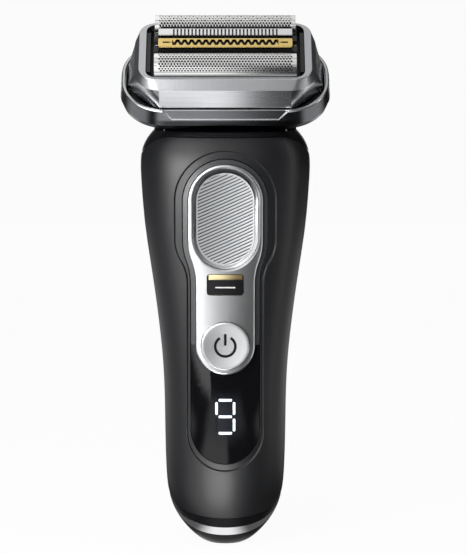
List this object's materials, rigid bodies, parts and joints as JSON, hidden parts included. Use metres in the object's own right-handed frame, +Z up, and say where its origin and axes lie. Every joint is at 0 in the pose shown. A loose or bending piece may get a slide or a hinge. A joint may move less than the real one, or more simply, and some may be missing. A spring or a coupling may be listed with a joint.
{
  "type": "foil shaver",
  "caption": "Tapered cordless handle with a tilting head and a lift-off cassette of arched foils and comb blades, a head lock, a lit display and a rear trimmer.",
  "frame": {"origin": "on the standing surface, under the middle of the whole shaver's plan", "axes": "+Z up the handle towards the head, -Y the front with the power button and display, +X the user's right when facing the front"},
  "size_m": [0.0666, 0.0434, 0.1706],
  "materials": {
    "shell_black": "satin",
    "cap_black": "satin",
    "inner_black": "matte",
    "satin_silver": "satin",
    "ribbed_silver": "satin",
    "button_silver": "satin",
    "icon_black": "matte",
    "surround_grey": "satin",
    "window_black": "gloss",
    "digit_light": "gloss",
    "lock_black": "gloss",
    "gold_trim": "satin",
    "cassette_silver": "satin",
    "ring_dark": "polished",
    "foil_steel": "satin",
    "comb_steel": "polished",
    "blade_steel": "satin",
    "spring_steel": "satin",
    "ring_silver": "polished",
    "board_green": "gloss",
    "chip_black": "matte",
    "cell_wrap": "gloss",
    "contact_metal": "satin",
    "core_iron": "matte",
    "coil_copper": "satin",
    "seal_rubber": "matte",
    "lamp_white": "satin"
  },
  "bodies": {
    "handle": {"front_housing": "shell_black", "rear_housing": "shell_black", "top_cap": "cap_black", "control_panel": "satin_silver", "thumb_rest": "ribbed_silver", "panel_surround": "surround_grey", "display_window": "window_black", "display_digit": "digit_light", "lock_well": "gold_trim", "bottom_band": "cap_black", "bottom_ring": "ring_silver", "bottom_cap": "cap_black", "socket_pins": "contact_metal", "charging_contacts": "contact_metal", "main_board": "board_green", "chassis": "inner_black", "battery_cell": "cell_wrap", "battery_tabs": "contact_metal", "housing_screws": "blade_steel", "power_switch": "chip_black", "display_lamp": "lamp_white", "board_chips": "chip_black", "housing_seal": "seal_rubber", "pivot_pins": "blade_steel"},
    "lock": {"lock_slider": "lock_black", "lock_rod": "inner_black"},
    "power": {"power_button": "button_silver", "power_icon": "icon_black"},
    "trimmer": {"trimmer_carriage": "shell_black", "trimmer_comb": "blade_steel"},
    "trimmer_cutter": {"trimmer_blade": "blade_steel"},
    "head": {"head_ring": "ring_dark", "head_housing": "inner_black", "bay_cover": "inner_black", "cover_screws": "blade_steel", "motor_core": "core_iron", "motor_coil": "coil_copper", "bridge_springs": "spring_steel"},
    "release_left": {"release_button_left": "ring_dark"},
    "release_right": {"release_button_right": "ring_dark"},
    "drive": {"drive_bridge": "inner_black", "motor_armature": "core_iron"},
    "cassette": {"cassette_frame": "cassette_silver", "cassette_base": "inner_black", "front_foil_springs": "spring_steel", "rear_foil_springs": "spring_steel", "lift_springs": "spring_steel", "direct_springs": "spring_steel"},
    "front_foil_unit": {"front_foil": "foil_steel", "front_foil_carrier": "inner_black"},
    "rear_foil_unit": {"rear_foil": "foil_steel", "rear_foil_carrier": "inner_black"},
    "lift_unit": {"lift_comb": "gold_trim", "lift_carrier": "inner_black"},
    "direct_unit": {"direct_comb": "comb_steel", "direct_carrier": "inner_black"},
    "front_cutter": {"front_cutter": "blade_steel"},
    "rear_cutter": {"rear_cutter": "blade_steel"},
    "lift_cutter": {"lift_blade": "blade_steel"},
    "direct_cutter": {"direct_blade": "blade_steel"}
  },
  "joints": [
    {"name": "head_tilt", "type": "hinge", "parent": "handle", "child": "head", "pos_m": [0, 0.0058, 0.1406], "axis": [1, 0, 0], "range_deg": [-35, 3]},
    {"name": "lock_slide", "type": "slide", "parent": "handle", "child": "lock", "axis": [0, 0, 1], "range_m": [0, 0.0019]},
    {"name": "power_press", "type": "slide", "parent": "handle", "child": "power", "axis": [0, 1, 0], "range_m": [0, 0.0006], "stiffness_N_per_m": 500, "springref_m": -0.0004},
    {"name": "trimmer_slide", "type": "slide", "parent": "handle", "child": "trimmer", "axis": [0, 0, 1], "range_m": [0, 0.012]},
    {"name": "trimmer_stroke", "type": "slide", "parent": "trimmer", "child": "trimmer_cutter", "axis": [1, 0, 0], "range_m": [-0.0008, 0.0008], "stiffness_N_per_m": 100},
    {"name": "release_left_press", "type": "slide", "parent": "head", "child": "release_left", "axis": [1, 0, 0], "range_m": [0, 0.001], "stiffness_N_per_m": 500, "springref_m": -0.0004},
    {"name": "release_right_press", "type": "slide", "parent": "head", "child": "release_right", "axis": [-1, 0, 0], "range_m": [0, 0.001], "stiffness_N_per_m": 500, "springref_m": -0.0004},
    {"name": "bridge_stroke", "type": "slide", "parent": "head", "child": "drive", "axis": [1, 0, 0], "range_m": [-0.0012, 0.0012], "stiffness_N_per_m": 300, "deforming": ["bridge_springs"]},
    {"name": "cassette_release", "type": "slide", "parent": "head", "child": "cassette", "axis": [0, -0.6428, 0.766], "range_m": [0, 0.02]},
    {"name": "front_foil_float", "type": "slide", "parent": "cassette", "child": "front_foil_unit", "axis": [0, 0.6428, -0.766], "range_m": [0, 0.0016], "stiffness_N_per_m": 400, "springref_m": -0.0008, "deforming": ["front_foil_springs"]},
    {"name": "rear_foil_float", "type": "slide", "parent": "cassette", "child": "rear_foil_unit", "axis": [0, 0.6428, -0.766], "range_m": [0, 0.0016], "stiffness_N_per_m": 400, "springref_m": -0.0008, "deforming": ["rear_foil_springs"]},
    {"name": "lift_float", "type": "slide", "parent": "cassette", "child": "lift_unit", "axis": [0, 0.6428, -0.766], "range_m": [0, 0.0015], "stiffness_N_per_m": 400, "springref_m": -0.0008, "deforming": ["lift_springs"]},
    {"name": "direct_float", "type": "slide", "parent": "cassette", "child": "direct_unit", "axis": [0, 0.6428, -0.766], "range_m": [0, 0.0015], "stiffness_N_per_m": 400, "springref_m": -0.0008, "deforming": ["direct_springs"]},
    {"name": "front_cutter_stroke", "type": "slide", "parent": "front_foil_unit", "child": "front_cutter", "axis": [1, 0, 0], "range_m": [-0.0012, 0.0012]},
    {"name": "rear_cutter_stroke", "type": "slide", "parent": "rear_foil_unit", "child": "rear_cutter", "axis": [1, 0, 0], "range_m": [-0.0012, 0.0012]},
    {"name": "lift_cutter_stroke", "type": "slide", "parent": "lift_unit", "child": "lift_cutter", "axis": [1, 0, 0], "range_m": [-0.0012, 0.0012]},
    {"name": "direct_cutter_stroke", "type": "slide", "parent": "direct_unit", "child": "direct_cutter", "axis": [1, 0, 0], "range_m": [-0.0012, 0.0012]}
  ],
  "couplings": [
    {"joint": "front_cutter_stroke", "follows": "bridge_stroke", "ratio": 1},
    {"joint": "rear_cutter_stroke", "follows": "bridge_stroke", "ratio": 1},
    {"joint": "lift_cutter_stroke", "follows": "bridge_stroke", "ratio": 1},
    {"joint": "direct_cutter_stroke", "follows": "bridge_stroke", "ratio": 1}
  ]
}
